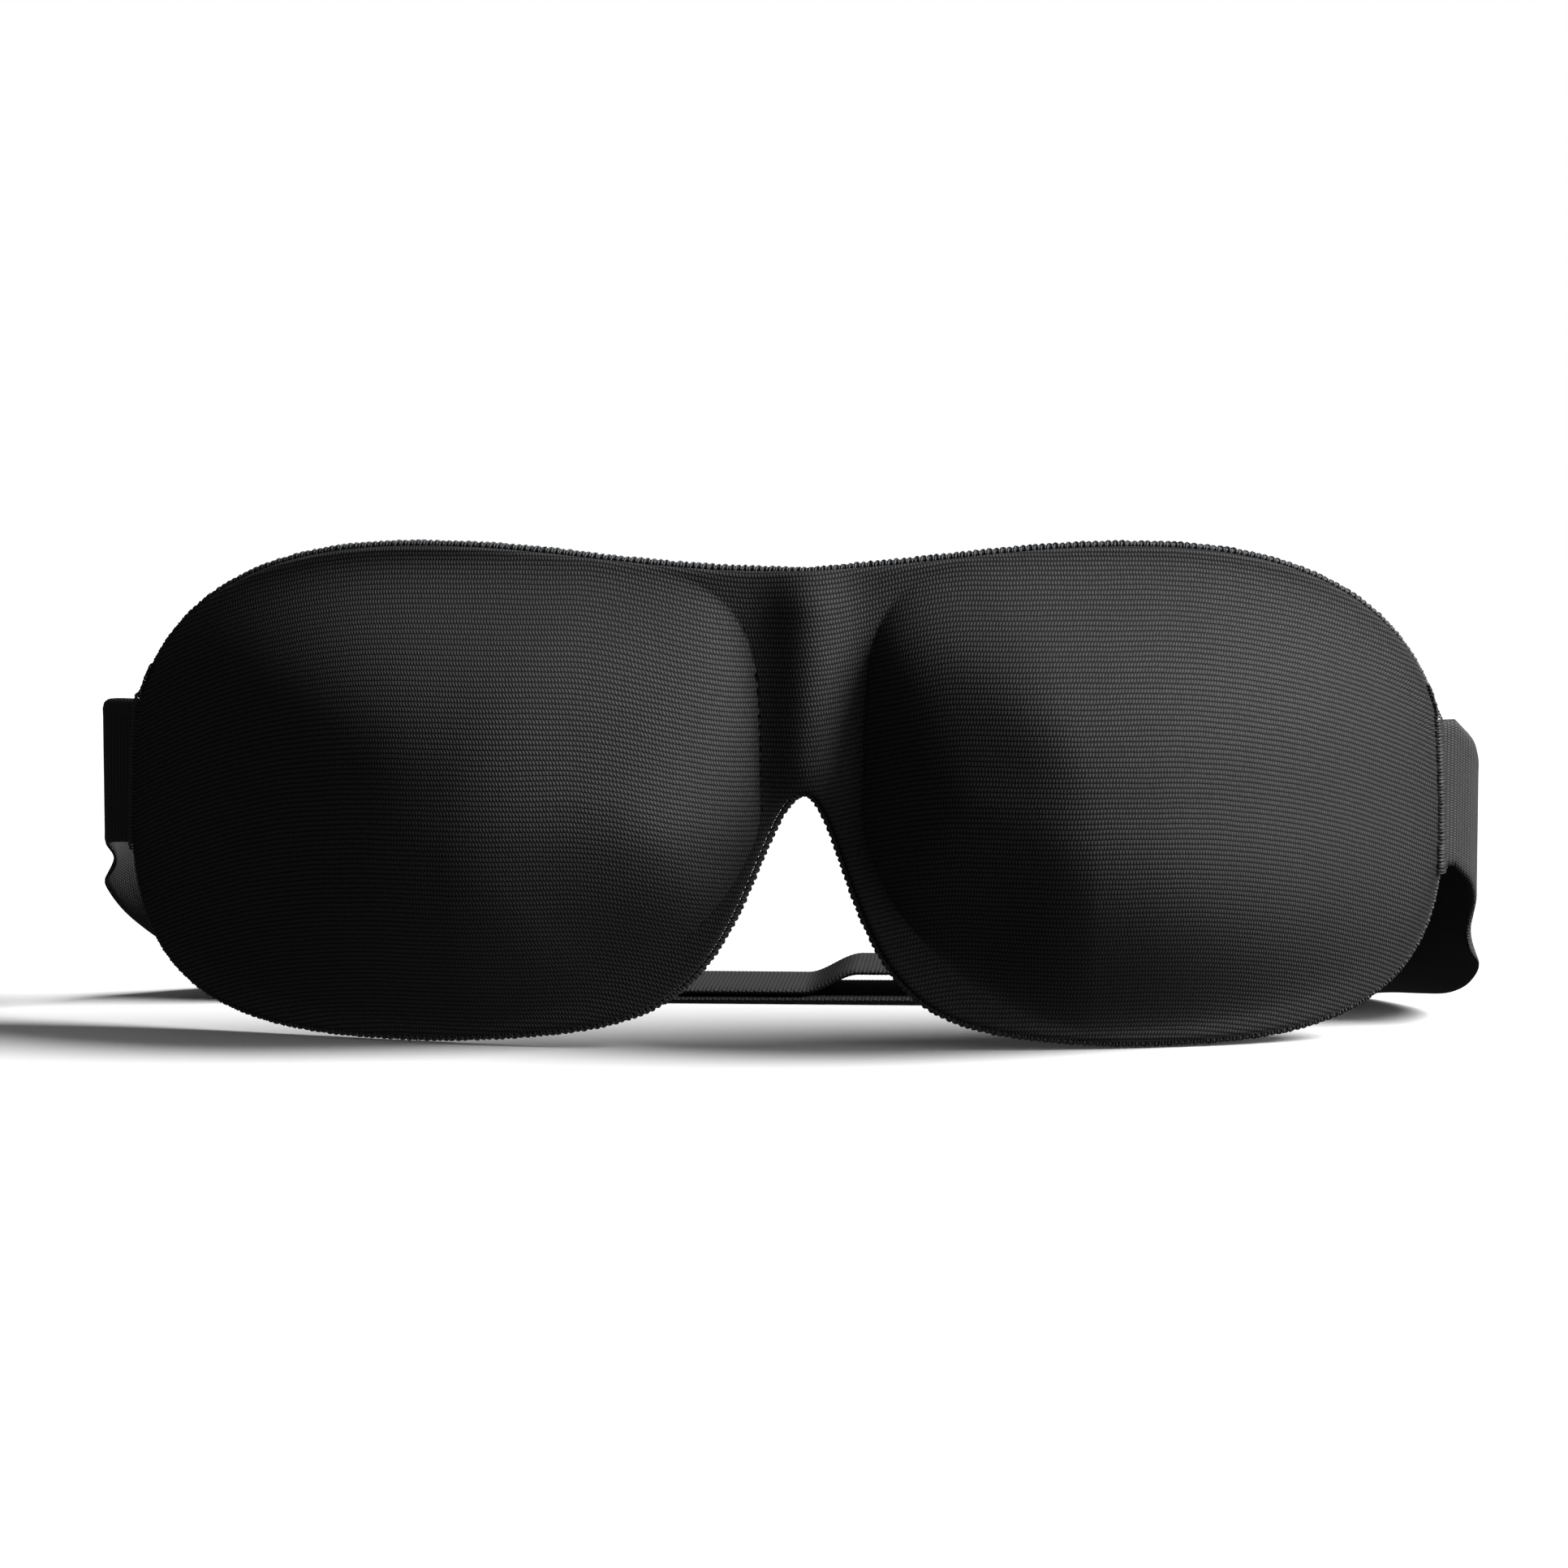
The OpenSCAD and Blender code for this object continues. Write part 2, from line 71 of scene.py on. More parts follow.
def unit(v):
    return v / np.linalg.norm(v, axis=-1, keepdims=True)


def stack(x, y, z):
    x, y, z = np.broadcast_arrays(x, y, z)
    return np.stack([x, y, z], axis=-1).astype(float)


def arcLength(points):  # distance travelled along a line of points
    steps = np.linalg.norm(np.diff(points, axis=0), axis=-1)
    return np.concatenate([[0], np.cumsum(steps)])


def evenly(points, spacing):    # the same line with points at an even spacing
    s = arcLength(points)
    at = np.linspace(0, s[-1], int(s[-1] / spacing) + 1)
    return np.stack([np.interp(at, s, points[:, k]) for k in range(3)], axis=-1)


def circle(radius, sides):
    a = np.arange(sides) * 2 * math.pi / sides
    return np.stack([radius * np.cos(a), radius * np.sin(a)], axis=-1)


# Rings of points to quads: ring i side k is joined to ring i + 1 side k + 1. Open tubes
# get flat caps, laid as a strip of quads across an even number of sides.
def tubeFaces(rings, sides, closed=False):
    i, k = np.meshgrid(np.arange(rings if closed else rings - 1), np.arange(sides), indexing="ij")
    i, k = i.ravel(), k.ravel()
    nextI, nextK = (i + 1) % rings, (k + 1) % sides
    faces = np.stack([i * sides + k, i * sides + nextK, nextI * sides + nextK, nextI * sides + k], axis=-1)
    if closed:
        return faces
    c = np.arange(sides // 2 - 1)
    cap = np.stack([c, sides - 1 - c, sides - 2 - c, c + 1], axis=-1)
    return np.concatenate([faces, cap, cap[:, ::-1] + (rings - 1) * sides])


# The faces of one tube, repeated for many tubes of the same make
def manyTubes(count, rings, sides):
    one = tubeFaces(rings, sides)
    return (one[None] + (np.arange(count) * rings * sides)[:, None, None]).reshape(-1, 4)


# Rings round a line: each ring is centre + side * a + up * b over the profile's points
def ringsAlong(centres, side, up, profile):
    return (centres[..., None, :] + side[..., None, :] * profile[..., 0:1]
            + up[..., None, :] * profile[..., 1:2])


# Directions square to a line of points, kept level with a guide direction
def squareTo(centres, guide):
    along = unit(np.gradient(centres, axis=-2))
    side = unit(np.cross(along, guide))
    return side, np.cross(side, along)


def joinMeshes(parts):      # [(points, faces)] to one pair
    points, faces, start = [], [], 0
    for p, f in parts:
        p = p.reshape(-1, 3)
        points.append(p)
        faces.append(f + start)
        start += len(p)
    return np.concatenate(points), np.concatenate(faces)


def makePiece(name, points, faces, uv=None, sharpAngle=None):
    mesh = bpy.data.meshes.new(name)
    mesh.from_pydata(points.reshape(-1, 3) * mm, [], faces)
    mesh.polygons.foreach_set("use_smooth", np.ones(len(faces), bool))
    if uv is not None:
        layer = mesh.uv_layers.new(name="weave")
        layer.data.foreach_set("uv", uv.reshape(-1, 2)[faces.ravel()].ravel())
    if sharpAngle is not None:
        mesh.set_sharp_from_angle(angle=math.radians(sharpAngle))
    mesh.validate()
    piece = bpy.data.objects.new(name, mesh)
    scene.collection.objects.link(piece)
    return piece


def finishPiece(piece, material, replaced, body=None):
    piece.data.materials.append(material)
    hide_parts(*replaced)
    if body:
        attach(piece, body)


def boxOf(node):
    return np.array([list(corner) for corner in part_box(node)]) / mm


# Shader maths: arithmetic on a Wire adds Math nodes

class Wire:
    def __init__(self, paint, socket):
        self.paint, self.socket = paint, socket

    def math(self, operation, *others):
        return self.paint.node("Math", {"operation": operation}, dict(enumerate((self, *others))))

    def __add__(self, other):
        return self.math("ADD", other)

    def __mul__(self, other):
        return self.math("MULTIPLY", other)

    def __sub__(self, other):
        return self.math("SUBTRACT", other)

    def __rsub__(self, other):
        return (self * -1) + other

    def __truediv__(self, other):
        return self.math("DIVIDE", other)

    def __pow__(self, other):
        return self.math("POWER", other)

    __radd__, __rmul__ = __add__, __mul__

    def sin(self):
        return self.math("SINE")

    def abs(self):
        return self.math("ABSOLUTE")

    def floor(self):
        return self.math("FLOOR")

    def clip(self):
        return self.math("MAXIMUM", 0.0).math("MINIMUM", 1.0)


class Paint:
    def __init__(self, name):
        self.material = bpy.data.materials.new(name)
        self.material.use_nodes = True
        self.tree = self.material.node_tree
        self.shader = self.tree.nodes["Principled BSDF"]

    # any node: its kind, its settings, its sockets' values or links, and which output
    def node(self, kind, settings=None, sockets=None, output=0):
        made = self.tree.nodes.new("ShaderNode" + kind)
        for key, value in (settings or {}).items():
            setattr(made, key, value)
        for key, value in (sockets or {}).items():
            self.plug(made.inputs[key], value)
        return Wire(self, made.outputs[output])

    def plug(self, socket, value):
        if isinstance(value, Wire):
            self.tree.links.new(value.socket, socket)
        else:
            socket.default_value = value

    def place(self):        # object coordinates in millimetres
        where = self.node("TexCoord", output="Object")
        return self.node("VectorMath", {"operation": "SCALE"}, {0: where, "Scale": 1 / mm})

    def weave(self):        # the piece's own fabric coordinates, in millimetres
        where = self.node("UVMap", {"uv_map": "weave"})
        return (self.node("SeparateXYZ", sockets={0: where}, output=0),
                self.node("SeparateXYZ", sockets={0: where}, output=1))

    def noise(self, scale, detail=2.0, stretch=None):
        where = self.place()
        if stretch:
            where = self.node("VectorMath", {"operation": "MULTIPLY"}, {0: where, 1: stretch})
        return self.node("TexNoise", sockets={"Vector": where, "Scale": scale, "Detail": detail})

    def mixColours(self, factor, dark, light):
        return self.node("Mix", {"data_type": "RGBA"}, {0: factor, 6: dark, 7: light}, output=2)

    def bump(self, height, distance):
        sockets = {"Height": height, "Distance": distance * mm, "Strength": 1.0}
        return self.node("Bump", sockets=sockets)

    def finish(self, **sockets):
        for key, value in sockets.items():
            self.plug(self.shader.inputs[key.replace("_", " ")], value)
        return self.material


# Jersey knit: courses are soft ridges along the mask, and each is a row of small loops
def knitMaterial(name, look):
    paint = Paint(name)
    across, up = paint.weave()
    wander = (paint.noise(look["wanderScale"]) - 0.5) * look["wander"]
    course = up / look["course"] + wander
    row = course.floor()
    ridge = (course * math.pi).sin().abs()
    stagger = (row * 0.5 - (row * 0.5).floor()) * math.pi
    loop = ((across / look["wale"] + wander) * (2 * math.pi) + stagger).sin() * 0.5 + 0.5
    uneven = paint.noise(look["unevenScale"], 3.0)
    yarn = ridge ** look["ridgePower"] * (1 - look["loopDepth"] + look["loopDepth"] * loop)
    # The colour is painted light and shade over the knit's own loop pattern: the gaps between loops are
    # painted shade, and the yarn tops are a painted highlight in scattered glints
    glint = (yarn * (look["glint"] + look["glintUneven"] * uneven)).clip()
    colour = paint.mixColours(glint, look["gap"], look["yarn"])
    cloud = paint.noise(look["cloudScale"])
    colour = paint.mixColours((cloud * look["cloud"]).clip(), colour, look["dull"])
    normal = paint.bump(yarn + uneven * look["fuzz"], look["relief"])
    paint.shader.inputs["Sheen Weight"].default_value = look["sheen"]
    paint.shader.inputs["Sheen Roughness"].default_value = look["sheenRoughness"]
    paint.shader.inputs["Specular IOR Level"].default_value = look["specular"]
    return paint.finish(Base_Color=colour, Roughness=1 - look["gloss"] * glint, Normal=normal)


# What both knits share. Scales are cycles of noise per millimetre.
anyKnit = {
    "wanderScale": 0.12, "unevenScale": 1.6, "cloudScale": 0.05, "cloud": 0.3, "fuzz": 0.25,
    "ridgePower": 0.8, "glint": 0.55, "glintUneven": 0.9, "gloss": 0.35,
    "sheenRoughness": 0.5, "specular": 0.2,
}
# gap is painted shade between the yarns; yarn is the colour that the painted glints reach
outerKnit = knitMaterial("outer_knit", {
    **anyKnit,
    "course": 0.80, "wale": 0.52, "loopDepth": 0.65, "wander": 0.5, "relief": 0.11,
    "gap": (0.0020, 0.0020, 0.0022, 1), "yarn": (0.058, 0.058, 0.060, 1),
    "dull": (0.010, 0.010, 0.011, 1), "sheen": 0.02})
innerKnit = knitMaterial("inner_knit", {
    **anyKnit,
    "course": 0.62, "wale": 0.45, "loopDepth": 0.4, "wander": 0.4, "relief": 0.14,
    "gap": (0.004, 0.0045, 0.005, 1), "yarn": (0.034, 0.037, 0.042, 1),
    "dull": (0.016, 0.017, 0.020, 1), "sheen": 0.1})


def foamMaterial():
    paint = Paint("foam")
    pores = paint.node("TexVoronoi", {"feature": "F1"}, {"Vector": paint.place(), "Scale": 2.2})
    colour = paint.mixColours(pores.clip(), (0.010, 0.010, 0.011, 1), (0.03, 0.03, 0.032, 1))
    return paint.finish(Base_Color=colour, Roughness=0.95, Normal=paint.bump(pores, 0.2))


# Spun thread: fine hairs along it and a slow change of shade
def threadMaterial(name, dark, light, roughness):
    paint = Paint(name)
    hairs = paint.noise(5.0, 3.0)
    shade = paint.noise(0.35, 2.0)
    colour = paint.mixColours((hairs * 1.4 - 0.2).clip(), dark, light)
    colour = paint.mixColours((shade * 0.6).clip(), colour, dark)
    return paint.finish(Base_Color=colour, Roughness=roughness, Normal=paint.bump(hairs, 0.06))


# Woven elastic: cross ribs are in the mesh, and short dashes of yarn break each rib
def webbingMaterial(look):
    paint = Paint("webbing")
    across, along = paint.weave()
    rib = along / look["rib"]
    parity = (rib.floor() * 0.5 - (rib.floor() * 0.5).floor()) * 2
    dash = ((across / look["dash"] + parity * 0.5) * (2 * math.pi)).sin() * 0.5 + 0.5
    crest = (rib * math.pi).sin().abs()
    uneven = paint.noise(1.3, 3.0)
    yarn = crest * (0.45 + 0.55 * dash)
    # Painted light and shade: the rib crests are painted lighter and the grooves between ribs are painted
    # dark as shade; the dashes are the weave's own pattern
    colour = paint.mixColours((yarn * (0.5 + uneven)).clip(), look["gap"], look["yarn"])
    return paint.finish(Base_Color=colour, Roughness=0.85 - 0.2 * dash,
                        Normal=paint.bump(yarn + uneven * 0.3, look["relief"]))


foamLook = foamMaterial()
rimThread = threadMaterial("rim_thread", (0.010, 0.0105, 0.012, 1), (0.075, 0.078, 0.084, 1), 0.6)
sewingThread = threadMaterial("sewing_thread", (0.004, 0.004, 0.0045, 1), (0.030, 0.030, 0.032, 1), 0.55)
# gap is painted shade in the grooves between ribs
webbing = webbingMaterial({
    "rib": 0.72, "dash": 0.42, "relief": 0.10,
    "gap": (0.004, 0.004, 0.0045, 1), "yarn": (0.045, 0.045, 0.048, 1)})


def plasticMaterial():
    paint = Paint("adjuster_plastic")
    grain = paint.noise(3.5, 4.0)
    scuff = paint.noise(0.4, 5.0, stretch=(1.0, 0.25, 1.0))
    colour = paint.mixColours((scuff * 1.5 - 0.4).clip(), (0.012, 0.012, 0.013, 1), (0.022, 0.022, 0.024, 1))
    return paint.finish(Base_Color=colour, Roughness=0.32 + 0.2 * scuff, Normal=paint.bump(grain, 0.02))


adjusterPlastic = plasticMaterial()
print("materials made")


# The padded front: a sheet y(x, z) over a flat outline, wrapped round the face, with a
# moulded dome over each eye

mask = {
    "halfWidth": 111.3,         # to the side edge of the layers
    "lowZ": 1.2, "topZ": 82.8,  # lower and upper edges at the cups
    "sideZ": 42.3,              # level of the strap
    "seamHalf": 12.5,           # half height of the straight side edge
    "peakX": 57.5, "uCup": 0.56,
    "notchHeight": 43.0, "notchHalf": 11.2, "notchPower": 2.28, "notchShift": 5.6,
    "browDip": 4.0,
    "lowSquare": 3.3, "topSquare": 2.4, "innerBias": 1.6, "outerBias": 1.2, "sideBow": 12,
    "setback": 26.0, "wrapPower": 2.2, "lean": 2.5,
    "cupDepth": 20.8, "cupX": 52.0, "cupInner": 42.5, "cupOuter": 59.5, "cupHalfZ": 39.2,
    "cupLow": 1.6, "cupHigh": 3.6, "cupSquare": 2.4,    # squareness: inner side low, high, outer side
    "squareFrom": -0.3, "squareOver": 0.9,  # where the inner side turns from low to high
    "cupPower": 2.1, "cupFlat": 1.2,        # flatter from top to bottom than across
    "footInner": 1.0, "footOuter": 1.7,     # softness of the foot, towards the bridge and elsewhere
    "footReach": 1.6, "footFade": 0.6,      # how wide the sharper foot is, and how it fades up and down
    "domeShift": 8.0,
    "ridge": 3.0, "ridgeX": 6.4, "ridgeHalf": 5.8,
    "ridgeLow": 36.0, "ridgeTop": 84.0, "ridgeFade": 12.0,
}
coverShape = {"thickness": 0.6, "glue": 0.05, "roll": 1.1}
liningShape = {"thickness": 0.6, "glue": 0.05, "roll": 0.9}
foamShape = {"edge": 1.5, "middle": 4.6, "flatUp": 6, "flatAcross": 14}
notchRise = mask["notchHeight"] - mask["lowZ"]
notchTail = notchRise / (1 + (mask["peakX"] / mask["notchHalf"]) ** mask["notchPower"])


def notchZ(x):      # height of the notch's edge: a bell curve less a straight tail
    return (mask["lowZ"] + notchRise / (1 + (x / mask["notchHalf"]) ** mask["notchPower"])
            - notchTail * x / mask["peakX"])


# Outer corner: a superellipse from the cup's peak to the straight side edge
def corner(t, square, height):
    last = math.acos((mask["seamHalf"] / height) ** (square / 2))
    phi = last * t ** mask["outerBias"]
    return (mask["peakX"] + (mask["halfWidth"] - mask["peakX"]) * np.sin(phi) ** (2 / square),
            height * np.cos(phi) ** (2 / square))


def edgePoint(u, low):
    a = np.abs(u)
    inner = np.clip(a / mask["uCup"], 0, 1)
    outer = np.clip((a - mask["uCup"]) / (1 - mask["uCup"]), 0, 1)
    if low:
        xIn = mask["peakX"] * inner ** mask["innerBias"]
        xOut, drop = corner(outer, mask["lowSquare"], mask["sideZ"] - mask["lowZ"])
        x = np.where(a <= mask["uCup"], xIn, xOut)
        z = np.where(a <= mask["uCup"], notchZ(xIn), mask["sideZ"] - drop)
        shift = mask["notchShift"] * (1 - np.clip(x / mask["peakX"], 0, 1))
        return np.sign(u) * x + shift, z
    xIn = mask["peakX"] * inner
    xOut, lift = corner(outer, mask["topSquare"], mask["topZ"] - mask["sideZ"])
    dip = mask["browDip"] * (1 + np.cos(math.pi * inner)) / 2
    return (np.sign(u) * np.where(a <= mask["uCup"], xIn, xOut),
            np.where(a <= mask["uCup"], mask["topZ"] - dip, mask["sideZ"] + lift))


sideBow = mask["halfWidth"] - edgePoint(np.array(1.0), True)[0]


def flatPoint(u, v):
    xLow, zLow = edgePoint(u, True)
    xTop, zTop = edgePoint(u, False)
    bow = np.sign(u) * sideBow * np.abs(u) ** mask["sideBow"] * (1 - (2 * v - 1) ** 2)
    return mixValues(xLow, xTop, v) + bow, mixValues(zLow, zTop, v)


# Dome: depth * (1 - r^p)^q, where r is a squared-off radius, wider on the outer side and
# squarer at its upper inner corner. Near the middle the domes are moved over with the notch.
def domeHeight(x, z):
    x = x - mask["domeShift"] * (1 - np.clip(np.abs(x) / mask["peakX"], 0, 1))
    dx, dz = np.abs(x) - mask["cupX"], (z - mask["sideZ"]) / mask["cupHalfZ"]
    rx = np.where(dx < 0, mask["cupInner"], mask["cupOuter"])
    inner = mixValues(mask["cupLow"], mask["cupHigh"], smooth((dz - mask["squareFrom"]) / mask["squareOver"]))
    square = np.where(dx < 0, inner, mask["cupSquare"])
    r = ((np.abs(dx) / rx) ** square + np.abs(dz) ** (square * mask["cupFlat"])) ** (1 / square)
    towardsBridge = smooth(mask["footReach"] * (-dx / rx - mask["footFade"] * np.abs(dz)))
    foot = mixValues(mask["footOuter"], mask["footInner"], towardsBridge)
    return mask["cupDepth"] * (1 - np.clip(r, 0, 1) ** mask["cupPower"]) ** foot


# Soft ridge of thick foam down the middle of the bridge, fading at its two edges
def bridgeRidge(x, z):
    fadeLow = smooth((z - mask["ridgeLow"]) / mask["ridgeFade"])
    fadeTop = smooth((mask["ridgeTop"] - z) / mask["ridgeFade"])
    return mask["ridge"] * fadeLow * fadeTop * np.exp(-((x - mask["ridgeX"]) / mask["ridgeHalf"]) ** 2)


def rawDepth(x, z):
    wrap = mask["setback"] * (np.abs(x) / mask["halfWidth"]) ** mask["wrapPower"]
    lean = mask["lean"] * ((z - mask["sideZ"]) / mask["sideZ"]) ** 2
    return wrap + lean - domeHeight(x, z) - bridgeRidge(x, z)


def gradientOf(depth, x, z, probe=0.05):
    return ((depth(x + probe, z) - depth(x - probe, z)) / (2 * probe),
            (depth(x, z + probe) - depth(x, z - probe)) / (2 * probe))


# The sheet is set back so that its front meets the front of the frame's cover
def frontOfCover():
    x, z = np.meshgrid(np.linspace(0, 110, 111), np.linspace(20, 64, 45))
    return rawDepth(x, z).min() - coverShape["glue"] - coverShape["thickness"]


depthShift = boxOf("face_cover")[0][1] - frontOfCover()


def sheetDepth(x, z):
    return rawDepth(x, z) + depthShift


def sheetAt(x, z):      # points of the sheet and their normals, towards the front
    slopeX, slopeZ = gradientOf(sheetDepth, x, z)
    return stack(x, sheetDepth(x, z), z), unit(stack(slopeX, -1.0, slopeZ))


def gridOf(columns, rows, crowding=0.06):    # rows crowd towards the two edges
    u, v = np.meshgrid(np.linspace(-1, 1, columns), np.linspace(0, 1, rows), indexing="ij")
    return u, v - crowding * np.sin(2 * math.pi * v)


# Distance of each grid point from the outline: the gap to the tangent of the edge
# straight below, above or beside it
def edgeGap(u, v, small=1e-3):
    x, z = flatPoint(u, v)
    gap = np.full(x.shape, np.inf)
    for edge in (0.0, 1.0):
        ex, ez = flatPoint(u, np.full_like(v, edge))
        fx, fz = flatPoint(u + small, np.full_like(v, edge))
        bx, bz = flatPoint(u - small, np.full_like(v, edge))
        tx, tz = fx - bx, fz - bz
        gap = np.minimum(gap, np.abs((x - ex) * tz - (z - ez) * tx) / np.hypot(tx, tz))
    ex, ez = flatPoint(np.sign(u + 1e-9), v)
    return np.minimum(gap, np.hypot(x - ex, z - ez))


# Fabric coordinates in millimetres: along the cloth, and up it. The courses bow up over
# each cup, lie level on the bridge and droop towards the sides.
weaveShape = {"rise": 5.0, "riseFrom": 3, "riseOver": 30, "droop": 12.0, "droopFrom": 60, "droopOver": 50}


def weaveOf(points):
    w = weaveShape
    along = np.linalg.norm(np.diff(points, axis=0), axis=-1)
    across = np.concatenate([np.zeros((1, points.shape[1])), np.cumsum(along, axis=0)])
    across = across - across[points.shape[0] // 2]
    x = np.abs(points[..., 0])
    rise = w["rise"] * smooth((x - w["riseFrom"]) / w["riseOver"])
    droop = w["droop"] * (np.clip(x - w["droopFrom"], 0, None) / w["droopOver"]) ** 2
    up = points[..., 2] - rise + droop
    return np.stack([across, up], axis=-1)


# Closed shell between a front and a back grid of points of the same size
def shellFaces(columns, rows):
    i, j = np.meshgrid(np.arange(columns - 1), np.arange(rows - 1), indexing="ij")
    a = (i * rows + j).ravel()
    front = np.stack([a, a + rows, a + rows + 1, a + 1], axis=-1)
    total = columns * rows
    loop = np.concatenate([np.arange(columns) * rows, (columns - 1) * rows + np.arange(1, rows),
                           np.arange(columns - 2, -1, -1) * rows + rows - 1, np.arange(rows - 2, 0, -1)])
    after = np.roll(loop, -1)
    wall = np.stack([after, loop, loop + total, after + total], axis=-1)
    return np.concatenate([front, front[:, ::-1] + total, wall])


# Foam: full in the middle, pressed thin towards the edges by high powers of the distance
def foamThickness(u, v):
    f = foamShape
    full = (1 - np.abs(2 * v - 1) ** f["flatUp"]) * (1 - np.abs(u) ** f["flatAcross"])
    return f["edge"] + (f["middle"] - f["edge"]) * full


def makeLayer(name, columns, rows, frontOffset, backOffset):
    u, v = gridOf(columns, rows)
    x, z = flatPoint(u, v)
    points, normals = sheetAt(x, z)
    gap, foam = edgeGap(u, v), foamThickness(u, v)
    front = points + normals * frontOffset(gap, foam)[..., None]
    back = points + normals * backOffset(gap, foam)[..., None]
    weave = weaveOf(points)
    return makePiece(name, np.concatenate([front.reshape(-1, 3), back.reshape(-1, 3)]),
                     shellFaces(columns, rows), np.concatenate([weave.reshape(-1, 2)] * 2))


# A knit's edge rolls onto the foam in a quarter round
def rolled(shape, gap):
    t = np.clip(gap / shape["roll"], 0, 1)
    return shape["glue"] + shape["thickness"] * np.sqrt(1 - (1 - t) ** 2)


cover = makeLayer("outer_knit_cover", 381, 131, lambda gap, foam: rolled(coverShape, gap),
                  lambda gap, foam: 0 * gap + coverShape["glue"])
finishPiece(cover, outerKnit, ["face_cover"], "mask")
foam = makeLayer("moulded_foam", 201, 71, lambda gap, foam: 0 * gap, lambda gap, foam: -foam)
finishPiece(foam, foamLook, ["foam_core"], "mask")
lining = makeLayer("skin_side_lining", 301, 101, lambda gap, foam: -foam - liningShape["glue"],
                   lambda gap, foam: -foam - rolled(liningShape, gap))
finishPiece(lining, innerKnit, ["face_lining"], "mask")
print("cover, foam and lining made")


# Frames along the outline: points of the sheet's edge, the way along it, outwards, and
# the sheet's normal
def outlineFrames(spacing):
    u, v = np.linspace(-1, 1, 2401), np.linspace(0, 1, 401)[1:-1]
    us = np.concatenate([u, np.ones(len(v)), u[::-1], -np.ones(len(v))])
    vs = np.concatenate([np.zeros(len(u)), v, np.ones(len(u)), v[::-1]])
    x, z = flatPoint(us, vs)
    line = np.stack([x, 0 * x, z], axis=-1)
    s = arcLength(np.concatenate([line, line[:1]]))
    count = int(s[-1] / spacing)
    at = np.arange(count) * s[-1] / count
    x = np.interp(at, s, np.append(x, x[0]))
    z = np.interp(at, s, np.append(z, z[0]))
    points, normals = sheetAt(x, z)
    along = unit(np.roll(points, -2, axis=0) - np.roll(points, 2, axis=0))
    out = unit(np.cross(along, normals))
    return points, along, out, normals


# Overlocked rim: a narrow band round the raw edge, bound by slanted thread
rimShape = {
    "pitch": 1.08, "radius": 0.19, "width": 0.95, "front": -0.15, "back": -2.2,
    "wraps": ((0.42, -0.3, 3), (-0.30, 0.0, 4)),    # slant, start and seed of each pass of thread
    "bow": 0.7, "tip": 0.55,                        # roundness of a wrap, thickness of its ends
    "scatter": (0.06, 0.04, 0.10, 0.15),            # in size, height, lead and thickness
    "bandSpacing": 1.2, "bandSides": 12, "bandSquare": 0.6,
    "bandStart": 0.05, "bandInset": 0.15, "bandSlim": 0.1,
}


def rimBand():
    r = rimShape
    points, along, out, normals = outlineFrames(r["bandSpacing"])
    middle, half = (r["front"] + r["back"]) / 2, (r["front"] - r["back"]) / 2
    a = np.linspace(-math.pi, math.pi, r["bandSides"], endpoint=False)
    c, d = np.cos(a), np.sin(a)
    squareC, squareD = np.sign(c) * np.abs(c) ** r["bandSquare"], np.sign(d) * np.abs(d) ** r["bandSquare"]
    outward = r["bandStart"] + (r["width"] - r["bandInset"]) * (0.5 + 0.5 * squareC)
    through = middle + (half - r["bandSlim"]) * squareD
    rings = ringsAlong(points, out, normals, np.stack([outward, through], axis=-1))
    return rings, tubeFaces(len(points), len(a), closed=True)


# One wrap is a bowed thread from the front of the edge, round its outside and behind it
def rimWraps(slant, start, seed):
    r = rimShape
    rng = np.random.default_rng(seed)
    points, along, out, normals = outlineFrames(r["pitch"])
    count, steps, sides = len(points), 9, 6
    sizeScatter, heightScatter, leadScatter, radiusScatter = r["scatter"]
    jitter = rng.uniform(-1, 1, (count, 3))
    t = np.linspace(0, 1, steps)
    angle = math.pi * (t - 0.5)
    outward = start + (r["width"] - start) * np.cos(angle) ** r["bow"]
    through = (r["front"] + r["back"]) / 2 - np.sin(angle) * (r["front"] - r["back"]) / 2
    lead = slant * np.cos(math.pi * t) * r["pitch"]
    size = 1 + sizeScatter * jitter[:, 0]
    centres = (points[:, None] + out[:, None] * (outward[None, :, None] * size[:, None, None])
               + normals[:, None] * (through[None, :, None] + heightScatter * jitter[:, None, 1:2])
               + along[:, None] * (lead[None, :, None] + leadScatter * jitter[:, None, 2:3]))
    side, up = squareTo(centres, along[:, None] + 0 * centres)
    radius = r["radius"] * (1 + radiusScatter * jitter[:, :1]) * np.where((t == 0) | (t == 1), r["tip"], 1.0)
    rings = ringsAlong(centres, side, up, circle(1, sides)[None, None] * radius[..., None, None])
    return rings, manyTubes(count, steps, sides)


rimPoints, rimFaces = joinMeshes([rimBand()] + [rimWraps(*wrap) for wrap in rimShape["wraps"]])
rim = makePiece("overlock_rim", rimPoints, rimFaces)
finishPiece(rim, rimThread, ["edge_rim"], "mask")
print("rim made")


# Webbing: a flat band with cross ribs, swept along a line with a width direction

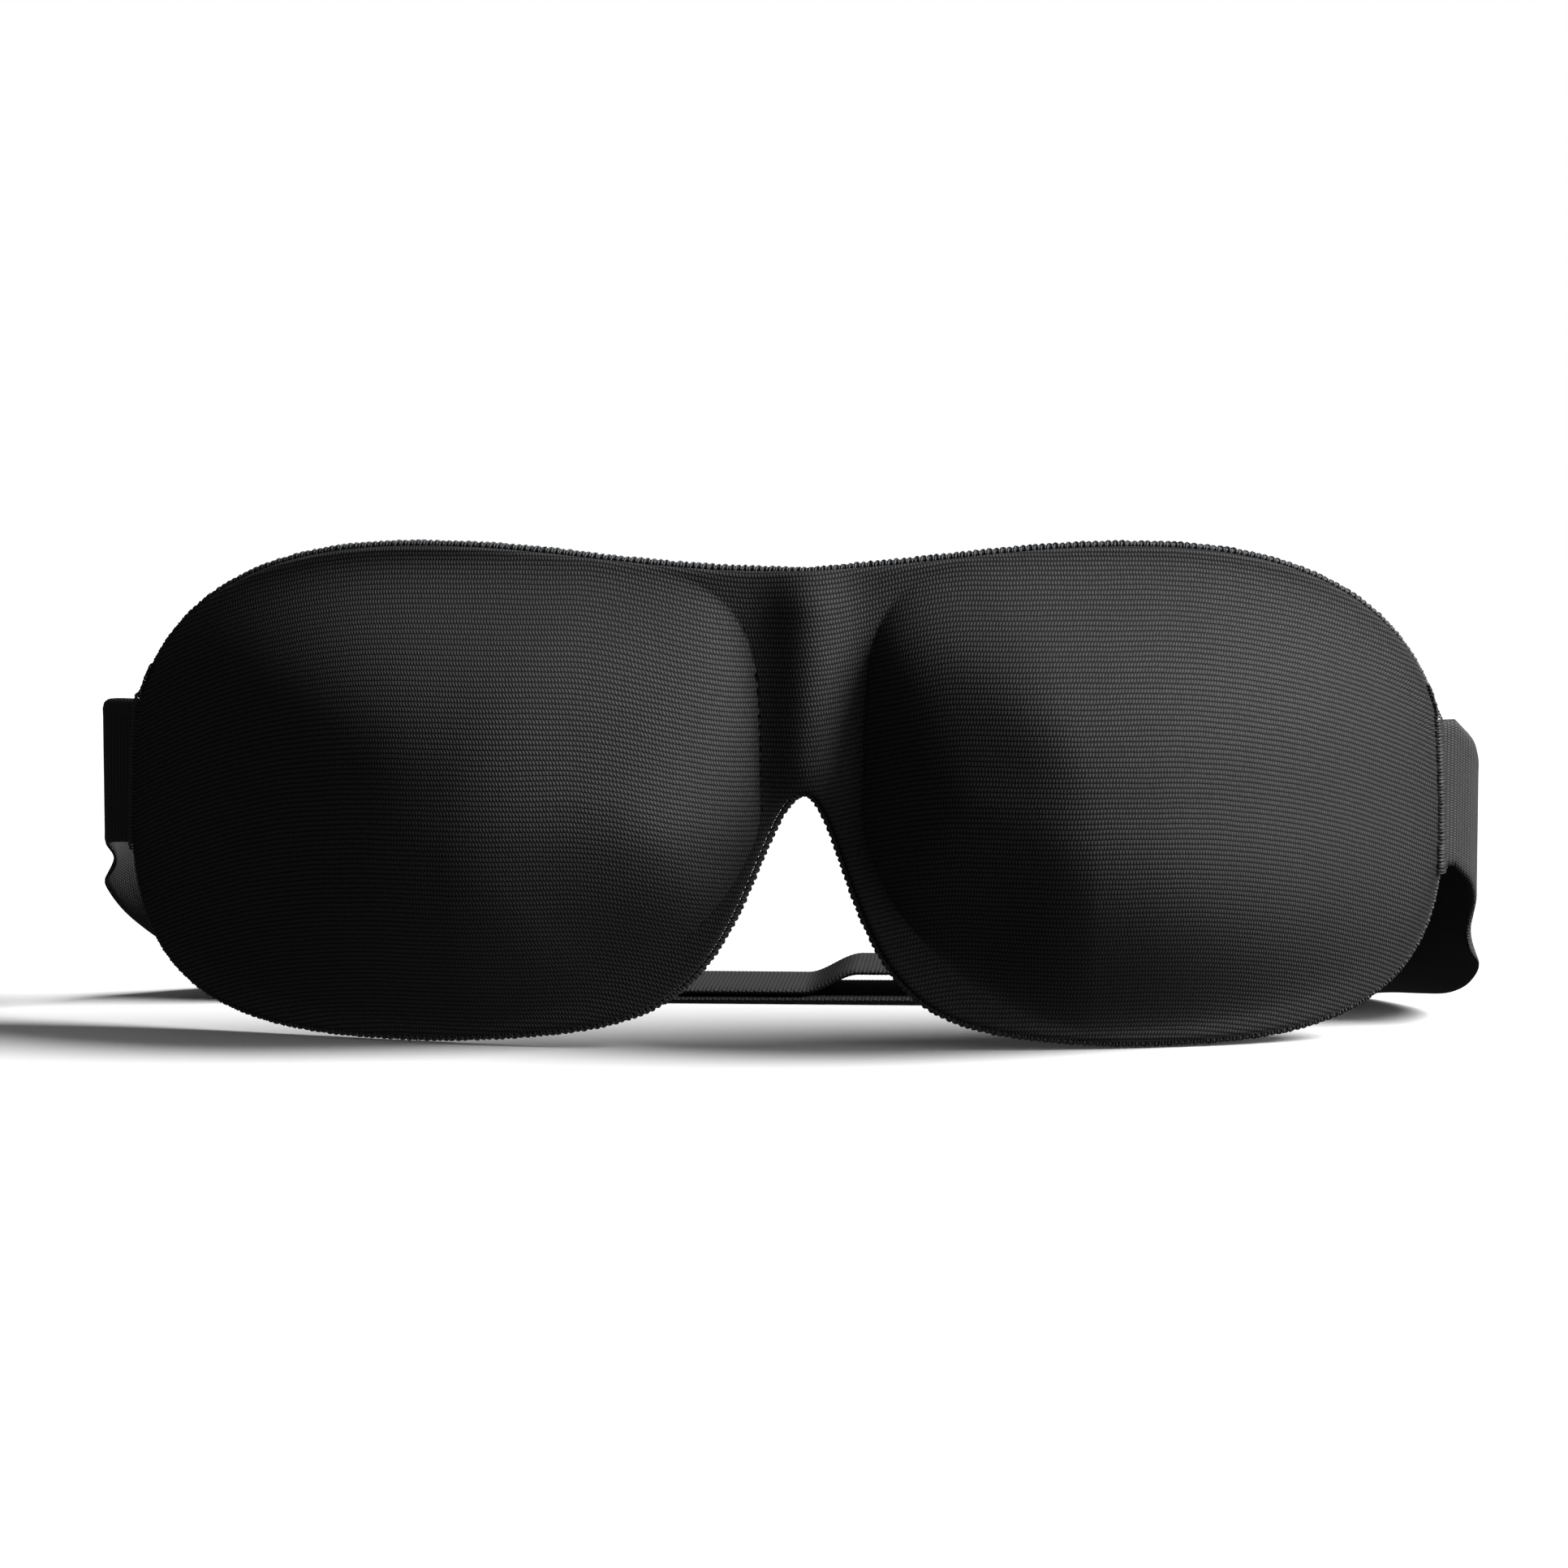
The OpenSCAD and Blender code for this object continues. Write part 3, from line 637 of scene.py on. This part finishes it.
strap = {
    "width": 25.0, "thickness": 1.2, "rib": 0.72, "ribDepth": 0.055, "spacing": 0.12,
    "across": 15, "selvagePower": 24,               # points across a face, and how late it rounds off
    "cord": 0.10, "cordIn": 1.1, "cordWidth": 0.7,  # fuller yarn beside each selvage
    "foldRun": 2.6, "foldRadius": 3.0, "backTurn": 125.0, "easyRadius": 24.0, "loopDepth": 40.0,
    "tabOut": 4.2, "tabFrom": 0.93, "gap": 1.0, "floorZ": 0.7, "rampEnd": 66.1,
    "ringZ": 3.3, "ringLeft": -46.0, "ringRight": -36.2, "sewnTail": 12.0,
    "leftLoop": 1.8, "rightLoop": 2.6, "middleLift": -0.55, "sliderX": 56.0,
    "tabGap": 0.55, "travel": 34.0, "sagFrom": 11.9, "sagTo": -32.2, "sagRamp": 10.0, "sagZ": 2.3,
    "leftRaise": 1.4, "rightRaise": -1.4, "raiseEnd": 0.5,
    "squareFrom": 0.1, "squareOver": 0.3, "turnFrom": 0.12, "turnOver": 0.73,   # shares of the way
    "stub": 2.0, "returnPast": 0.25, "bend": 20.0,
}


def heading(degrees):
    return np.array([math.cos(math.radians(degrees)), math.sin(math.radians(degrees))])


# Middle line behind the lining, where the end of the webbing is sewn down
def behindLining(u):
    x, z = flatPoint(u, 0.5 + 0 * u)
    points, normals = sheetAt(x, mask["sideZ"] + strap["width"] / 2 + 0 * x)
    depth = (foamThickness(u, 0.5 + 0 * u) + liningShape["thickness"] + liningShape["glue"]
             + strap["tabGap"] + strap["thickness"] / 2)
    return (points - normals * depth[:, None])[:, :2]


seamTurn = math.degrees(math.atan(mask["wrapPower"] * mask["setback"] / mask["halfWidth"]))


def planOfStrap():
    tab = behindLining(np.linspace(strap["tabFrom"], 1, 30))
    start = tab[-1] + heading(seamTurn) * (strap["tabOut"] + strap["gap"])
    out = start + heading(seamTurn) * np.linspace(0, strap["foldRun"], 12)[:, None]
    centre = out[-1] + heading(seamTurn + 90) * strap["foldRadius"]
    a = np.radians(np.linspace(seamTurn - 90, strap["backTurn"] - 90, 60))
    fold = centre + strap["foldRadius"] * np.stack([np.cos(a), np.sin(a)], axis=-1)
    back = strap["backTurn"]
    ringY = start[1] + strap["loopDepth"]
    rise = strap["easyRadius"] * (1 - math.cos(math.radians(180 - back)))
    run = (ringY - fold[-1][1] - rise) / math.sin(math.radians(back))
    straight = fold[-1] + heading(back) * np.linspace(0, run, 60)[1:, None]
    centre = straight[-1] + heading(back + 90) * strap["easyRadius"]
    a = np.radians(np.linspace(back - 90, 90, 60))[1:]
    easy = centre + strap["easyRadius"] * np.stack([np.cos(a), np.sin(a)], axis=-1)
    return tab, np.concatenate([out, fold[1:], straight, easy]), start, ringY


tabPlan, sidePlan, seamStart, ringY = planOfStrap()


def wayOf(y):       # share of the way from the seam to the run on the floor
    return (y - seamStart[1]) / (ringY - seamStart[1])


# One half of the strap in space, as a line and a width direction at each point
def strapHalf(isRight, runZ):
    way = wayOf(sidePlan[:, 1])
    sink = way * (2 - way) if isRight else smooth(way)
    raised = strap["rightRaise"] if isRight else strap["leftRaise"]
    level = mask["sideZ"] + raised * (1 - smooth(way / strap["raiseEnd"]))
    z = mixValues(level, strap["floorZ"], np.clip(sink, 0, 1))
    side = np.column_stack([sidePlan, z])
    tab = np.column_stack([tabPlan, np.full(len(tabPlan), mask["sideZ"] + raised)])
    t = np.linspace(0, 1, 60)[1:]
    ramp = np.column_stack([mixValues(side[-1, 0], strap["rampEnd"], t), np.full(59, ringY),
                            mixValues(strap["floorZ"], runZ, smooth(t))])
    line = evenly(np.concatenate([tab, side, ramp]), strap["spacing"])
    along = unit(np.gradient(line, axis=0))
    left = unit(np.column_stack([-along[:, 1], along[:, 0], 0 * along[:, 0]]))
    way = wayOf(line[:, 1])
    square = smooth((way - strap["squareFrom"]) / strap["squareOver"])[:, None]
    up = unit(mixValues(np.array([0, 0, 1.0]), np.cross(along, left), square))
    phi = math.pi / 2 * smooth((way - strap["turnFrom"]) / strap["turnOver"])[:, None]
    return line, np.cos(phi) * up + np.sin(phi) * left


# Turn round a bar that lies across the run, in the plane of X and Z, then a straight end
def barLoop(x, z, radius, start, sweep, tail):
    a = np.radians(np.linspace(start, start + sweep, 40))
    arc = np.column_stack([x + radius * np.cos(a), np.full(40, ringY), z + radius * np.sin(a)])
    end = arc[-1] + np.array([1.0, 0, 0]) * np.linspace(0, tail, 30)[1:, None]
    return np.concatenate([arc, end])


def webbingMesh(line, width):
    thick, half = strap["thickness"], strap["width"] / 2
    along = unit(np.gradient(line, axis=0))
    normal = unit(np.cross(along, width))
    travelled = arcLength(line)
    # flat section: points that crowd towards the sides, pinched to a rounded selvage at each
    w = half * np.sin(np.linspace(-math.pi / 2, math.pi / 2, strap["across"]))
    profileW = np.concatenate([w, w[-2:0:-1]])
    face = np.concatenate([np.ones(strap["across"]), -np.ones(strap["across"] - 2)])
    selvage = np.sqrt(np.clip(1 - (np.abs(profileW) / half) ** strap["selvagePower"], 0, 1))
    fromCord = (half - strap["cordIn"] - np.abs(profileW)) / strap["cordWidth"]
    cord = 1 + strap["cord"] * np.exp(-fromCord ** 2)
    rib = np.abs(np.sin(math.pi * travelled / strap["rib"]))
    body = thick / 2 - strap["ribDepth"] * (1 - rib)
    level = body[:, None] * (face * selvage * cord)[None]
    points = line[:, None] + width[:, None] * profileW[None, :, None] + normal[:, None] * level[..., None]
    uv = np.stack(np.broadcast_arrays(profileW[None], travelled[:, None]), axis=-1)
    return points, tubeFaces(len(line), len(profileW)), uv


def makeWebbing(name, line, width):
    points, faces, uv = webbingMesh(line, width)
    return makePiece(name, points, faces, uv, sharpAngle=75)


def mirrorX(points):
    return points * np.array([-1.0, 1, 1])


runWidth = np.array([0, -1.0, 0])


def extend(line, width, more):      # the line goes on along more, with the run's width
    added = evenly(np.concatenate([line[-1:], more]), strap["spacing"])[1:]
    return np.concatenate([line, added]), np.concatenate([width, np.broadcast_to(runWidth, added.shape)])


# The run eases from one height to another over one ramp
def easeRun(fromX, fromZ, toZ):
    t = np.linspace(0, 1, 40)[:, None]
    return np.array([fromX, ringY, fromZ]) - t * [strap["sagRamp"], 0, 0] + smooth(t) * [0, 0, toZ - fromZ]


leftRunZ, rightRunZ = strap["ringZ"] + strap["leftLoop"], strap["ringZ"] + strap["rightLoop"]
line, width = strapHalf(False, leftRunZ)
line, width = mirrorX(line), mirrorX(width)
loop = barLoop(strap["ringLeft"], strap["ringZ"], strap["leftLoop"], 90, -180, -strap["sewnTail"])
line, width = extend(line, width, loop)
leftStrap = makeWebbing("strap_short", line, width)

# The long strap sinks onto the returning layer between the slider's reach and the ring
line, width = strapHalf(True, rightRunZ)
down = easeRun(strap["sagFrom"], rightRunZ, strap["sagZ"])
up = easeRun(strap["sagTo"] + strap["sagRamp"], strap["sagZ"], rightRunZ)
line, width = extend(line, width, np.concatenate([down, up]))
loop = barLoop(strap["ringRight"], strap["ringZ"], strap["rightLoop"], 90, 180, strap["stub"])
line, width = extend(line, width, loop)
rightStrap = makeWebbing("strap_long", line, width)

# Points at the side seams and at the end of the first stretch behind them; the straps are baked where they
# lie
hinge = (0, seamStart[1] * mm, mask["sideZ"] * mm)
bendEnd = (0, hinge[1] + strap["bend"] * mm, hinge[2])
for sewn, nodes in ((leftStrap, ["strap_left", "strap_tab_left"]),
                    (rightStrap, ["strap_right", "strap_tab_right"])):
    finishPiece(sewn, webbing, nodes)
    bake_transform(sewn)

# The returning layer reaches a little past its box, to meet the fold at each end
returnBox, endBox = boxOf("strap_return"), boxOf("strap_end")
lowRunZ = strap["ringZ"] - strap["rightLoop"]
midZ = strap["ringZ"] + strap["middleLift"]
endZ = midZ - strap["leftLoop"]
ends = np.array([[returnBox[0][0] - strap["returnPast"], ringY, lowRunZ],
                 [returnBox[1][0] + strap["returnPast"], ringY, endZ]])
line = evenly(ends, strap["spacing"])
strapReturn = makeWebbing("strap_return_run", line, np.broadcast_to(runWidth, line.shape))
finishPiece(strapReturn, webbing, ["strap_return"], "strap")
ringY * mm
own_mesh(strapReturn)

start = np.array([[endBox[0][0], ringY, endZ]])
loop = barLoop(strap["sliderX"], midZ, strap["leftLoop"], -90, 180, strap["stub"] - strap["sewnTail"])
line = evenly(np.concatenate([start, loop]), strap["spacing"])
strapEnd = makeWebbing("strap_end_fold", line, np.broadcast_to(runWidth, line.shape))
finishPiece(strapEnd, webbing, ["strap_end"], "slider")
print("straps made")


# Short bowed threads, side by side: each runs through the same few points, given across
# the row and outwards, with a little scatter in reach, height, lean and thickness. Every
# other thread leans the other way.
threadShape = {"lean": 0.12, "leanScatter": 0.5, "reachScatter": 0.4, "heightScatter": 0.25, "tip": 0.5}


def threadRow(anchors, acrossDir, outDir, alongDir, curve, radius, scatter, seed):
    shape = threadShape
    rng = np.random.default_rng(seed)
    count, steps, sides = len(anchors), 9, 6
    jitter = rng.uniform(-1, 1, (count, 1, 4)) * scatter
    t = np.linspace(0, 1, steps)
    knots = np.linspace(0, 1, len(curve))
    across = np.interp(t, knots, curve[:, 0])[None, :, None]
    height = np.interp(t, knots, curve[:, 1])[None, :, None]
    turn = np.where(np.arange(count) % 2 == 0, 1, -1)[:, None, None] * shape["lean"]
    lean = (turn + jitter[..., 3:4] * shape["leanScatter"]) * (t[None, :, None] - 0.5) * 2
    across = across * (1 + shape["reachScatter"] * jitter[..., 0:1])
    height = height + shape["heightScatter"] * jitter[..., 1:2]
    centres = (anchors[:, None] + acrossDir[:, None] * across + outDir[:, None] * height
               + alongDir[:, None] * lean)
    side, up = squareTo(centres, alongDir[:, None] + 0 * centres)
    size = radius * (1 + jitter[..., 2]) * np.where((t == 0) | (t == 1), shape["tip"], 1.0)
    rings = ringsAlong(centres, side, up, circle(1, sides)[None, None] * size[..., None, None])
    return rings, manyTubes(count, steps, sides)


# Side bartacks: dense thread over the rim, from the cover's edge down onto the webbing
tackShape = {
    "pitch": 0.30, "radius": 0.15, "scatter": 0.25, "over": 6.0, "below": 0.6,
    "narrowing": 0.55, "narrowOver": 2,     # above the webbing the stitches get shorter
    "curve": np.array([[-0.9, 0.55], [-0.3, 0.85], [0.5, 0.62], [1.3, 0.05], [2.0, -0.9], [2.7, -1.95]]),
}


def sideTack(sign, raised, seed):
    t = tackShape
    low = mask["sideZ"] + raised - strap["width"] / 2 - t["below"]
    high = mask["sideZ"] + raised + strap["width"] / 2 + t["over"]
    z = np.arange(low, high, t["pitch"])
    v = np.linspace(0, 1, 400)
    edgeX, edgeZ = flatPoint(sign * np.ones(400), v)
    topU = np.linspace(1, 0.8, 200)
    cornerX, cornerZ = flatPoint(sign * topU, np.ones(200))
    x = np.interp(z, np.append(edgeZ, cornerZ[1:]), np.append(edgeX, cornerX[1:]))
    points, normals = sheetAt(x, z)
    up = unit(np.gradient(points, axis=0))
    out = unit(np.cross(up, normals))
    out = out * np.sign(out[:, :1]) * sign
    reach = 1 - t["narrowing"] * smooth((z - high + t["over"]) / t["narrowOver"])
    return threadRow(points, out * reach[:, None], normals, up, t["curve"], t["radius"], t["scatter"], seed)


for sign, raised, name, node, seed in ((-1, strap["leftRaise"], "bartack_left", "side_bartack_left", 11),
                                       (1, strap["rightRaise"], "bartack_right", "side_bartack_right", 12)):
    points, faces = sideTack(sign, raised, seed)
    tack = makePiece(name, points, faces)
    finishPiece(tack, sewingThread, [node], "mask")


# Bartacks through the folded strap ends: thread on both faces of the two layers. The
# curve is in half widths across the tack, and millimetres outwards.
loopTackShape = {
    "pitch": 0.42, "radius": 0.16, "scatter": 0.15,
    "curve": np.array([[-1, -0.35], [-0.8, 0.05], [0, 0.16], [0.8, 0.05], [1, -0.35]]),
}


def loopTack(node, upperZ, lowerZ):
    t = loopTackShape
    low, high = boxOf(node)
    y = np.arange(low[1], high[1], t["pitch"])
    curve = t["curve"] * [(high[0] - low[0]) / 2, 1]
    parts = []
    for level, flip, seed in ((upperZ, 1, 21), (lowerZ, -1, 22)):
        anchors = stack((low[0] + high[0]) / 2, y, level)
        across = stack(np.ones_like(y), 0.0, 0.0)
        out = stack(np.zeros_like(y), 0.0, flip)
        along = stack(np.zeros_like(y), 1.0, 0.0)
        parts.append(threadRow(anchors, across, out, along, curve, t["radius"], t["scatter"], seed))
    return joinMeshes(parts)


halfThick = strap["thickness"] / 2
points, faces = loopTack("ring_loop_stitching", leftRunZ + halfThick,
                         strap["ringZ"] - strap["leftLoop"] - halfThick)
ringTack = makePiece("bartack_ring_loop", points, faces)
finishPiece(ringTack, sewingThread, ["ring_loop_stitching"], "strap")
points, faces = loopTack("slider_loop_stitching", midZ + strap["leftLoop"] + halfThick,
                         midZ - strap["leftLoop"] - halfThick)
sliderTack = makePiece("bartack_slider_loop", points, faces)
finishPiece(sliderTack, sewingThread, ["slider_loop_stitching"], "slider")
print("stitching made")


# Ring: a bar with a softened square section, bent into a rectangle with round corners
ringShape = {"barRadius": 1.1, "bend": 1.6, "sides": 16, "square": 0.75}


# Softened square: a circle whose cosine and sine are raised to a power below one
def softSquare(half, sides, power):
    a = (np.arange(sides) + 0.5) * 2 * math.pi / sides
    c, d = np.cos(a), np.sin(a)
    return half * np.stack([np.sign(c) * np.abs(c) ** power, np.sign(d) * np.abs(d) ** power], axis=-1)


def ringMesh():
    low, high = boxOf("ring")
    r, bend, sides = ringShape["barRadius"], ringShape["bend"], ringShape["sides"]
    cx, cy, cz = (low + high) / 2
    hx, hy = (high[0] - low[0]) / 2 - r, (high[1] - low[1]) / 2 - r
    a = np.linspace(0, 2 * math.pi, 96, endpoint=False)
    px = np.sign(np.cos(a)) * (hx - bend) + bend * np.cos(a)
    py = np.sign(np.sin(a)) * (hy - bend) + bend * np.sin(a)
    centres = stack(cx + px, cy + py, cz)
    out = stack(np.cos(a), np.sin(a), 0.0)
    up = stack(0 * a, 0.0, 1.0)
    profile = softSquare(r, sides, ringShape["square"])[None]
    return ringsAlong(centres, -out, up, profile), tubeFaces(len(a), sides, closed=True)


points, faces = ringMesh()
ring = makePiece("strap_ring", points, faces)
finishPiece(ring, adjusterPlastic, ["ring"], "ring")


# Slider: three bars across two arched rails with rounded ends
sliderShape = {
    "barRadius": 1.1, "barInset": 0.6, "sides": 16,
    "railPast": 0.3, "railHalf": 0.95, "railSquare": 0.6,
    "railEnd": (0.45, 0.8, 0.95, 1.0),      # the rail's size over its last few rings
}


def sliderMesh():
    shape = sliderShape
    low, high = boxOf("slider")
    r, sides, end = shape["barRadius"], shape["sides"], np.array(shape["railEnd"])
    cx, cy = (low[0] + high[0]) / 2, (low[1] + high[1]) / 2
    pitch, barHalf = (high[0] - low[0]) / 2 - r, (high[1] - low[1]) / 2
    sag = high[2] - low[2] - 2 * r
    arch = (pitch ** 2 + sag ** 2) / (2 * sag)
    lowZ = low[2] + r
    parts = []
    y = np.linspace(cy - barHalf + shape["barInset"], cy + barHalf - shape["barInset"], 30)
    along, upwards = stack(1 + 0 * y, 0.0, 0.0), stack(0 * y, 0.0, 1.0)
    for dx, dz in ((-pitch, sag), (0.0, 0.0), (pitch, sag)):
        centres = stack(cx + dx, y, lowZ + dz)
        rings = ringsAlong(centres, along, upwards, circle(r, sides)[None])
        parts.append((rings[:, ::-1], tubeFaces(len(y), sides)))
    a = np.linspace(-1, 1, 41) * math.asin((pitch + shape["railPast"]) / arch)
    scale = np.concatenate([end, np.ones(len(a) - 2 * len(end)), end[::-1]])
    for side in (-1, 1):
        centres = stack(cx + arch * np.sin(a), cy + side * (barHalf - r), lowZ + arch * (1 - np.cos(a)))
        inward = stack(-np.sin(a), 0.0, np.cos(a))
        across = stack(0 * a, 1.0, 0.0)
        section = softSquare(1, sides, shape["railSquare"]) * [r, shape["railHalf"]]
        rings = ringsAlong(centres, across, inward, section[None] * scale[:, None, None])
        parts.append((rings[:, ::-1], tubeFaces(len(a), sides)))
    return joinMeshes(parts)


points, faces = sliderMesh()
slider = makePiece("strap_slider", points, faces, sharpAngle=60)
finishPiece(slider, adjusterPlastic, ["slider"], "slider")
print("ring and slider made")


# Floor, light and camera

stageLook = {
    "floorSize": 8.0, "fill": 0.07,
    "lights": {"key": (7.2, 27.0, 82.0, 34.0), "low_key": (2.0, 45.0, 63.0, 3.0)},  # power, width, from where
}


def makeFloor():
    half = stageLook["floorSize"] / 2 / mm
    corners = np.array([[-half, -half, 0], [half, -half, 0], [half, half, 0], [-half, half, 0]])
    floor = makePiece("floor", corners, np.array([[0, 1, 2, 3]]))
    paint = Paint("pale_floor")
    floor.data.materials.append(paint.finish(Base_Color=(0.9, 0.9, 0.9, 1), Roughness=0.9))
    # keeps the dark cloth from being lit from below
    floor.visible_diffuse = floor.visible_glossy = False


def makeWorld():
    world = bpy.data.worlds.new("studio")
    scene.world = world
    world.use_nodes = True
    tree = world.node_tree
    back = tree.nodes["Background"]
    path = tree.nodes.new("ShaderNodeLightPath")
    level = tree.nodes.new("ShaderNodeMapRange")
    tree.links.new(path.outputs["Is Camera Ray"], level.inputs["Value"])
    level.inputs["To Min"].default_value = stageLook["fill"]
    level.inputs["To Max"].default_value = 1.0
    back.inputs["Color"].default_value = (1, 1, 1, 1)
    tree.links.new(level.outputs[0], back.inputs["Strength"])


def aimAt(thing, azimuth, elevation, distance, target):
    a, e = math.radians(azimuth), math.radians(elevation)
    back = np.array([math.sin(a) * math.cos(e), -math.cos(a) * math.cos(e), math.sin(e)])
    thing.location = target + back * distance
    thing.rotation_euler = (math.pi / 2 - e, 0, a)


def makeLight(name, power, width, azimuth, elevation):
    lamp = bpy.data.lights.new(name, "SUN")
    lamp.energy = power
    lamp.angle = math.radians(width)
    light = bpy.data.objects.new(name, lamp)
    scene.collection.objects.link(light)
    aimAt(light, azimuth, elevation, 1.0, np.zeros(3))


cameraSettings = {"azimuth": 3.5, "elevation": 4.5, "distance": 0.62, "lens": 85.6,
                  "target": (0.0014, -0.02105, 0.04325)}


def makeCamera():
    c = cameraSettings
    camera = bpy.data.objects.new("camera", bpy.data.cameras.new("camera"))
    scene.collection.objects.link(camera)
    camera.data.lens = c["lens"]
    camera.data.clip_start = 0.01
    aimAt(camera, c["azimuth"], c["elevation"], c["distance"], np.array(c["target"]))
    scene.camera = camera


makeFloor()
makeWorld()
for name, look in stageLook["lights"].items():
    makeLight(name, *look)
makeCamera()
scene.view_settings.view_transform = "Standard"
print("stage made")
